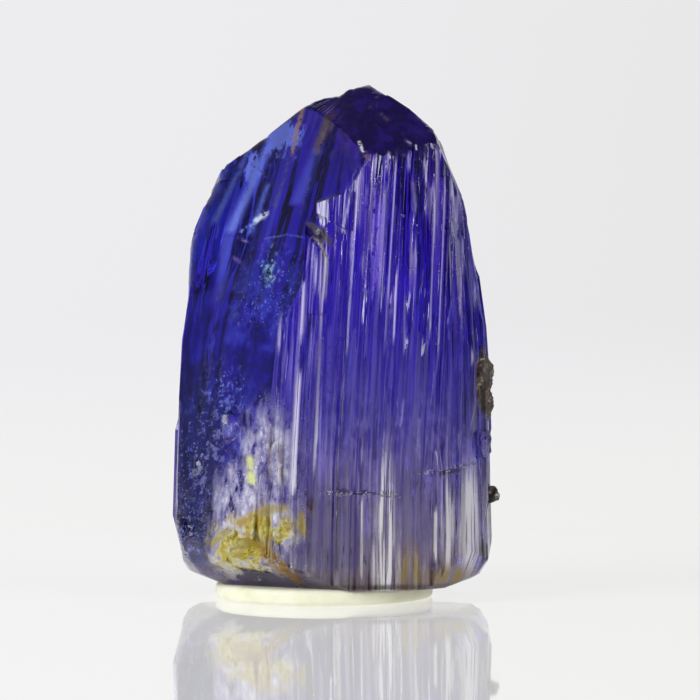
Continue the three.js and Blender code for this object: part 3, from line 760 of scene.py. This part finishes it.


# Films and spots of the front, with painted glints, a painted sheen and painted shadow among them: [x, z]
# of one end and of the other, half width, strength and colour.
FILMS = [
    # gold and brown films in the window
    ((-1.9, 29.1), (-2.6, 26.3), 0.13, 1.0, "#80600c"),
    ((-2.6, 26.3), (-3.6, 23.2), 0.13, 0.6, "#4a3e30"),
    ((-0.35, 28.6), (-1.1, 26.5), 0.26, 0.8, "#47300f"),
    ((-0.55, 27.9), (-0.85, 26.9), 0.12, 0.7, "#7c540c"),
    ((0.1, 28.9), (-0.3, 27.6), 0.14, 0.6, "#3c281c"),
    ((-1.5, 24.8), (-2.1, 22.6), 0.1, 0.6, "#14105c"),
    # small dark marks in the light patch
    ((-4.3, 26.2), (-3.95, 26.0), 0.07, 0.9, "#10104c"),
    ((-4.2, 25.7), (-3.9, 25.55), 0.06, 0.9, "#10104c"),
    ((-4.35, 25.2), (-4.1, 24.8), 0.07, 0.9, "#10104c"),
    ((-3.3, 26.9), (-3.2, 26.3), 0.05, 0.8, "#161660"),
    ((-2.95, 26.6), (-3.2, 25.9), 0.06, 0.8, "#161660"),
    # a wedge-shaped glint, a line of sparkles, small orange veils and a painted sheen in pale blue and
    # green
    ((-4.1, 22.78), (-4.7, 22.3), 0.15, 1.0, "#e2f2ff"),
    ((-4.6, 22.35), (-5.6, 21.6), 0.07, 0.7, "#7a9cf0"),
    ((-4.15, 21.3), (-2.8, 21.55), 0.04, 0.5, "#7c94f4"),
    ((-2.8, 21.55), (-1.45, 21.35), 0.04, 0.5, "#7c94f4"),
    ((-5.6, 21.3), (-5.2, 21.1), 0.1, 0.6, "#7c4c6c"),
    ((-5.9, 20.1), (-5.6, 19.9), 0.12, 0.5, "#7c4c5c"),
    ((-4.1, 19.9), (-4.0, 18.6), 0.13, 0.55, "#84c8f0"),
    ((-3.85, 19.6), (-3.8, 19.1), 0.1, 0.6, "#b8e8d8"),
    # lilac rim of the left shoulder
    ((-7.25, 24.0), (-7.9, 21.9), 0.09, 0.5, "#8a7cc8"),
    # painted shadow in the hollow under the block, and the ridge below it
    ((-1.55, 22.15), (-0.75, 21.75), 0.22, 0.9, "#2c1a1c"),
    ((-0.75, 21.75), (-0.35, 21.1), 0.24, 0.9, "#341f1a"),
    ((-1.2, 21.7), (-0.75, 21.3), 0.24, 0.95, "#20121c"),
    ((-1.3, 21.4), (-0.85, 21.0), 0.07, 0.9, "#a89868"),
    ((-0.85, 21.0), (-0.6, 20.4), 0.07, 0.9, "#b8ac88"),
    ((-0.6, 20.4), (-0.5, 19.2), 0.05, 0.8, "#d8d4e0"),
    # painted glints in white, and gold dust, along the edge of the roof
    ((1.38, 26.95), (1.6, 26.45), 0.09, 1.0, "#f4f2fa"),
    ((1.75, 26.35), (1.9, 25.9), 0.16, 0.8, "#5a3424"),
    ((1.95, 26.0), (2.05, 25.6), 0.09, 0.8, "#8a6a34"),
    ((3.05, 26.12), (3.28, 26.05), 0.1, 1.0, "#f4f2fa"),
    ((4.15, 27.05), (4.4, 26.85), 0.08, 0.8, "#b8b0d4"),
    ((2.7, 28.6), (3.1, 28.2), 0.1, 0.6, "#6e5434"),
    ((2.0, 29.1), (2.1, 28.9), 0.08, 0.6, "#6e5434"),
    # bright violet columns
    ((1.85, 24.2), (1.7, 18.4), 0.15, 0.65, "#7e54f8"),
    ((2.3, 24.6), (2.15, 18.0), 0.09, 0.7, "#a084fc"),
    ((2.7, 23.6), (2.45, 18.6), 0.2, 0.7, "#7a50f4"),
    ((3.4, 23.0), (3.15, 17.0), 0.12, 0.5, "#7048e8"),
    ((1.0, 22.0), (0.7, 18.0), 0.12, 0.5, "#7c54f0"),
    ((6.5, 24.0), (6.35, 17.0), 0.15, 0.5, "#5c38c8"),
    ((7.2, 23.4), (7.3, 16.0), 0.3, 0.6, "#3c2098"),
    ((0.35, 16.5), (0.3, 12.5), 0.16, 0.5, "#7a5cf0"),
    ((-0.35, 16.0), (-0.4, 12.0), 0.12, 0.5, "#8468f4"),
    # yellow, olive and golden films of the stained ground
    ((-7.3, 3.4), (-6.3, 4.3), 0.2, 0.85, "#a49420"),
    ((-5.6, 4.7), (-4.4, 5.5), 0.26, 0.9, "#a88808"),
    ((-4.3, 5.6), (-2.8, 5.8), 0.2, 0.85, "#ac980c"),
    ((-6.6, 2.9), (-4.9, 3.2), 0.4, 0.9, "#b8a828"),
    ((-5.0, 3.9), (-4.2, 3.4), 0.4, 0.9, "#a88c1c"),
    ((-4.2, 3.3), (-3.0, 2.1), 0.4, 1.0, "#946e04"),
    ((-3.1, 2.2), (-2.15, 1.35), 0.24, 1.0, "#7c5400"),
    ((-2.3, 1.9), (-1.9, 1.1), 0.12, 0.9, "#5c3810"),
    ((-1.97, 5.3), (-1.9, 4.2), 0.24, 0.9, "#b09a30"),
    ((-1.6, 6.1), (-1.4, 5.7), 0.16, 0.9, "#6c4414"),
    ((-5.0, 8.5), (-4.96, 8.05), 0.2, 0.95, "#e4ea92"),
    ((-4.9, 7.6), (-4.85, 7.2), 0.24, 0.95, "#e4ea92"),
    ((-3.75, 9.7), (-3.9, 7.6), 0.1, 0.75, "#5c4c34"),
    ((-3.75, 9.7), (-3.3, 9.5), 0.1, 0.75, "#5c4c34"),
    ((-3.3, 9.5), (-3.05, 7.4), 0.12, 0.75, "#5c4c34"),
    ((0.68, 8.6), (0.62, 5.6), 0.08, 0.45, "#8f7424"),
    ((-0.7, 6.9), (0.2, 6.6), 0.12, 0.5, "#443040"),
]
NO_FILM = (0, 0, 0, 0)
STROKE_END = 0.05  # a bar or band fades over this share of its length, inside and outside of each end


def closeness(away, half_width):
    """Above 1 inside a stroke, and 0 at half a width outside it."""
    return 1.5 - away / half_width


def film_over(place):
    """The colour of the nearest film at a place; its alpha is how strongly the film covers the place."""
    x, z = place.x / MM, place.z / MM
    closest, shade, cover = -2, NO_FILM, 0
    for (x1, z1), (x2, z2), half_width, strength, hex_code in FILMS:
        margin = 3 * half_width
        if not min(x1, x2) - margin < x < max(x1, x2) + margin:
            continue
        if not min(z1, z2) - margin < z < max(z1, z2) + margin:
            continue
        length = math.hypot(x2 - x1, z2 - z1)
        share = ((x - x1) * (x2 - x1) + (z - z1) * (z2 - z1)) / length**2
        share = min(1, max(0, share))
        away = math.hypot(x - x1 - (x2 - x1) * share, z - z1 - (z2 - z1) * share)
        close = closeness(away, half_width)
        if close > closest:
            closest, shade, cover = close, colour(hex_code), strength
    return (*shade[:3], cover * min(1, max(0, closest)))


def painted(place, strokes):
    """How strongly the strokes cover a place of the front, from 0 to 1."""
    x, z = place.x / MM, place.z / MM
    strongest = 0
    for top, foot, half_width, strength in strokes:
        share = (z - foot[1]) / (top[1] - foot[1])
        if not -STROKE_END < share < 1 + STROKE_END:
            continue
        inside = min(share + STROKE_END, 1 + STROKE_END - share)
        ends = min(1, inside / (2 * STROKE_END))
        aside = abs(x - foot[0] - (top[0] - foot[0]) * share)
        strongest = max(strongest, strength * ends * min(1, max(0, closeness(aside, half_width))))
    return strongest


def share_of(vert, layer):
    """Which share of the faces around a vertex is marked in a layer, from 0 to 1."""
    return sum(face[layer] for face in vert.link_faces) / len(vert.link_faces)


def refine(shape, edges_of, cuts):
    """Cuts edges into shorter ones. All faces are triangles afterwards."""
    bmesh.ops.subdivide_edges(shape, edges=edges_of, cuts=cuts, use_grid_fill=True)
    bmesh.ops.triangulate(shape, faces=[face for face in shape.faces if len(face.verts) > 3])


def divide(shape, striated, smooth_cut):
    """Divides the solid finely enough for the ribs, worn edges, broken ground and painted strokes."""
    ribbed = [edge for edge in shape.edges if any(face[striated] for face in edge.link_faces)]
    refine(shape, ribbed, RIB_CUTS)
    for longest in DIVISIONS:
        long_edges = [
            edge for edge in shape.edges
            if edge.calc_length() > longest * MM and not all(face[striated] for face in edge.link_faces)
            and (longest > BACK_FINENESS or edge.verts[0].co.y < BACK_FROM)
        ]
        if longest == DIVISIONS[-1]:
            long_edges = [
                edge for edge in long_edges
                if roughness_at(edge.verts[0].co) > 0 or nearness(edge.verts[0].co, *ROOF_EDGE) > 0
            ]
        refine(shape, long_edges, 1)
    banded = [
        edge for edge in shape.edges
        if edge.calc_length() > BAND_FINENESS and edge.verts[0].co.z > BANDS_ABOVE
        and all(face[smooth_cut] for face in edge.link_faces)
    ]
    refine(shape, banded, 1)


def even_out(shape, verts, passes, upright):
    """Smooths a few vertices, sideways alone or upwards as well."""
    for _ in range(passes):
        bmesh.ops.smooth_vert(
            shape, verts=verts, factor=0.5, use_axis_x=True, use_axis_y=True, use_axis_z=upright,
        )


def wear_down(shape, striated):
    """Wears the edges between smooth faces, and flattens the ribs at half height and under the cloud."""
    worn = [
        vert for vert in shape.verts
        if vert.co.z > BASE_TOP and not any(face[striated] for face in vert.link_faces)
    ]
    even_out(shape, worn, WEAR_PASSES, True)
    for lowest, highest in CALM_STEPS:
        calm = [
            vert for vert in shape.verts
            if lowest * MM < vert.co.z < highest * MM and vert.co.y < 0
            and all(face[striated] for face in vert.link_faces)
        ]
        even_out(shape, calm, 1, False)
    settled = [
        vert for vert in shape.verts if nearness(vert.co, *SETTLED_GROUND) > 0 and vert.co.z > BASE_TOP
    ]
    even_out(shape, settled, SETTLE_PASSES, False)
    shape.normal_update()


def paint(shape, smooth_cut):
    """Writes where the window, the painted highlights of the ribs, the painted light stripes of the window
    and the films are, for the material.
    """
    window = shape.verts.layers.float.new("window")
    highlight_bars = shape.verts.layers.float.new("highlight_bars")
    painted_light_bands = shape.verts.layers.float.new("painted_light_bands")
    films = shape.verts.layers.float_color.new("films")
    for vert in shape.verts:
        vert[window] = share_of(vert, smooth_cut)
        vert[films] = NO_FILM
        if vert.co.y < FRONT_UP_TO:
            facing = min(1, max(0, -5 * vert.normal.y - 1))  # 0 on faces that look sideways
            # painted highlights of single ribs, on the ribbed front only
            vert[highlight_bars] = painted(vert.co, HIGHLIGHT_BARS) * (1 - vert[window]) * facing
            # painted light stripes, on the window only
            vert[painted_light_bands] = painted(vert.co, PAINTED_LIGHT_BANDS) * vert[window]
            vert[films] = film_over(vert.co)


def relief(vert, share):
    """How a vertex moves for ribs, uneven smooth faces, the full shoulder and broken ground."""
    out = Vector((vert.normal.x, vert.normal.y, UPRIGHT_SHARE * vert.normal.z))
    depth = share * stria_depth(vert.co) if share else 0
    spot = vert.co / MM
    if share < 1:
        bulge = ROOF_BULGE if spot.z > ROOF_FROM and spot.x > ROOF_LEFT else FACE_BULGE
        depth += (1 - share) * bulge * noise.noise(spot * 1.2) * MM
    depth -= SHOULDER_SWELL * nearness(vert.co, *SHOULDER)
    roughness = roughness_at(vert.co)
    if roughness:
        crumble = noise.fractal(spot * 1.7, 1.0, 2.1, 5) + abs(noise.noise(spot * 3.1))
        depth += roughness * crumble
    return -depth * out


def make_crystal():
    """The crystal: the CAD solid, divided, worn, painted and given its fine relief."""
    shape = bmesh.new()
    shape.from_mesh(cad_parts["tanzanite_crystal"].data)
    bmesh.ops.remove_doubles(shape, verts=shape.verts, dist=MERGE_WITHIN)
    bmesh.ops.dissolve_degenerate(shape, edges=shape.edges, dist=MERGE_WITHIN)
    shape.normal_update()
    striated = shape.faces.layers.int.new("striated")
    smooth_cut = shape.faces.layers.int.new("smooth_cut")
    for face in shape.faces:
        face[striated] = is_striated(face)
        face[smooth_cut] = is_window(face)
    divide(shape, striated, smooth_cut)
    wear_down(shape, striated)
    paint(shape, smooth_cut)
    moves = [relief(vert, share_of(vert, striated)) for vert in shape.verts]
    for vert, move in zip(shape.verts, moves):
        if vert.co.z > BASE_TOP:
            sway = noise.noise(Vector((vert.co.x / (1.1 * MM), vert.co.y / (2 * MM), 1.3)))
            near_crack = max(0, 1 - abs(vert.co.z - CRACK_HEIGHT) / CRACK_REACH)
            ease = min(1, (vert.co.z - BASE_TOP) / BASE_EASE)
            vert.co += ease * move + Vector((0, 0, CRACK_SWAY * sway * near_crack))
    for face in shape.faces:
        face.smooth = True
    shape.normal_update()
    for edge in shape.edges:
        edge.smooth = len(edge.link_faces) == 2 and edge.calc_face_angle() < SHARP_ANGLE
    piece = show(shape, "crystal", tanzanite_material())
    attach(piece, "root")
    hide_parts("tanzanite_crystal")
    return piece


PAD_CENTRE = Vector((-0.69, 0.08, 0)) * MM
PAD_RADIUS = 6.45 * MM
PAD_THICKNESS = 0.9 * MM
PAD_ROUND = 0.3 * MM
PAD_SEGMENTS = 160


def make_pad():
    """A ball of putty pressed flat: a round cake with soft, slightly uneven edges."""
    shape = bmesh.new()
    bmesh.ops.create_cone(
        shape, cap_ends=True, segments=PAD_SEGMENTS,
        radius1=PAD_RADIUS, radius2=PAD_RADIUS, depth=PAD_THICKNESS,
    )
    bmesh.ops.translate(shape, verts=shape.verts, vec=PAD_CENTRE + Vector((0, 0, PAD_THICKNESS / 2)))
    rims = [
        edge for edge in shape.edges if abs(edge.verts[0].co.z - edge.verts[1].co.z) < PAD_THICKNESS / 2
    ]
    bmesh.ops.bevel(
        shape, geom=rims, offset=PAD_ROUND, offset_type="OFFSET", segments=5, profile=0.5,
        affect="EDGES", material=-1,
    )
    for vert in shape.verts:
        out = Vector((vert.co.x - PAD_CENTRE.x, vert.co.y - PAD_CENTRE.y, 0))
        spot = vert.co / MM
        swell = 0.05 * noise.noise(spot * 0.35) + 0.02 * noise.noise(spot * 1.3)
        vert.co += out.normalized() * swell * MM
    for face in shape.faces:
        face.smooth = True
    piece = show(shape, "pad", putty_material())
    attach(piece, "root")
    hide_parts("mounting_putty")
    return piece


make_crystal()
make_pad()


# --- Stage and light --------------------------------------------------------------------------
def make_backdrop():
    """A sheet that lies flat under the crystal and sweeps up far behind it."""
    shape = bmesh.new()
    near, far, half, sweep = -0.6, 0.5, 1.6, 0.4
    corners = [shape.verts.new((-half, near, 0)), shape.verts.new((half, near, 0))]
    edge = shape.edges.new(corners)
    flat = bmesh.ops.extrude_edge_only(shape, edges=[edge])
    verts = [v for v in flat["geom"] if isinstance(v, bmesh.types.BMVert)]
    bmesh.ops.translate(shape, verts=verts, vec=(0, far - near, 0))
    edges = [
        e for e in flat["geom"] if isinstance(e, bmesh.types.BMEdge) and all(v in verts for v in e.verts)
    ]
    bmesh.ops.spin(
        shape, geom=verts + edges, cent=(0, far, sweep), axis=(1, 0, 0), angle=math.pi / 2, steps=24,
    )
    bmesh.ops.recalc_face_normals(shape, faces=shape.faces)
    piece = show(shape, "backdrop", backdrop_material())
    for face in piece.data.polygons:
        face.use_smooth = True
    return piece


make_backdrop()


CRYSTAL_MIDDLE = Vector((0, 0, 15)) * MM


def softbox(name, place, size, power):
    """A rectangular light that looks at the middle of the crystal."""
    data = bpy.data.lights.new(name, "AREA")
    data.shape = "RECTANGLE"
    data.size, data.size_y = size
    data.energy = power
    lamp = bpy.data.objects.new(name, data)
    lamp.location = place
    lamp.rotation_euler = (CRYSTAL_MIDDLE - Vector(place)).to_track_quat("-Z", "Y").to_euler()
    scene.collection.objects.link(lamp)


softbox("left_wide", place=(-0.42, -0.3, 0.28), size=(0.32, 0.5), power=2.2)
softbox("left_strip", place=(-0.3, -0.36, 0.24), size=(0.03, 0.4), power=0.3)
softbox("right_wide", place=(0.46, -0.24, 0.28), size=(0.28, 0.5), power=0.9)
softbox("right_strip", place=(0.34, -0.34, 0.24), size=(0.03, 0.4), power=0.3)

# The room is bright behind the crystal, dim in front and dark overhead; seen directly, it is evenly pale.
SEEN_DIRECTLY = 0.85
world = bpy.data.worlds.new("studio")
world.use_nodes = True
sky = world.node_tree
outward = add(sky, "ShaderNodeTexCoord").outputs["Generated"]
toward = add(sky, "ShaderNodeSeparateXYZ", Vector=outward)
behind = add(
    sky, "ShaderNodeMapRange", {"interpolation_type": "SMOOTHSTEP"},
    Value=toward.outputs["Y"], From_Min=-0.1, From_Max=0.5, To_Min=0.1, To_Max=0.5,
)
overhead = add(
    sky, "ShaderNodeMapRange", {"interpolation_type": "SMOOTHSTEP"},
    Value=toward.outputs["Z"], From_Min=0.45, From_Max=0.8, To_Min=1.0, To_Max=0.15,
)
studio_light = calc(sky, "MULTIPLY", behind.outputs[0], overhead.outputs[0])
straight = add(sky, "ShaderNodeLightPath").outputs["Is Camera Ray"]
shown = add(sky, "ShaderNodeMapRange", Value=straight, To_Min=studio_light, To_Max=SEEN_DIRECTLY)
sky.links.new(shown.outputs["Result"], sky.nodes["Background"].inputs["Strength"])
sky.nodes["Background"].inputs["Color"].default_value = colour("#fbfbfd")
scene.world = world
scene.view_settings.view_transform = "Standard"
scene.cycles.use_denoising = True
# light meets many facets before it leaves the stone
scene.cycles.transmission_bounces = 16
scene.cycles.max_bounces = 20
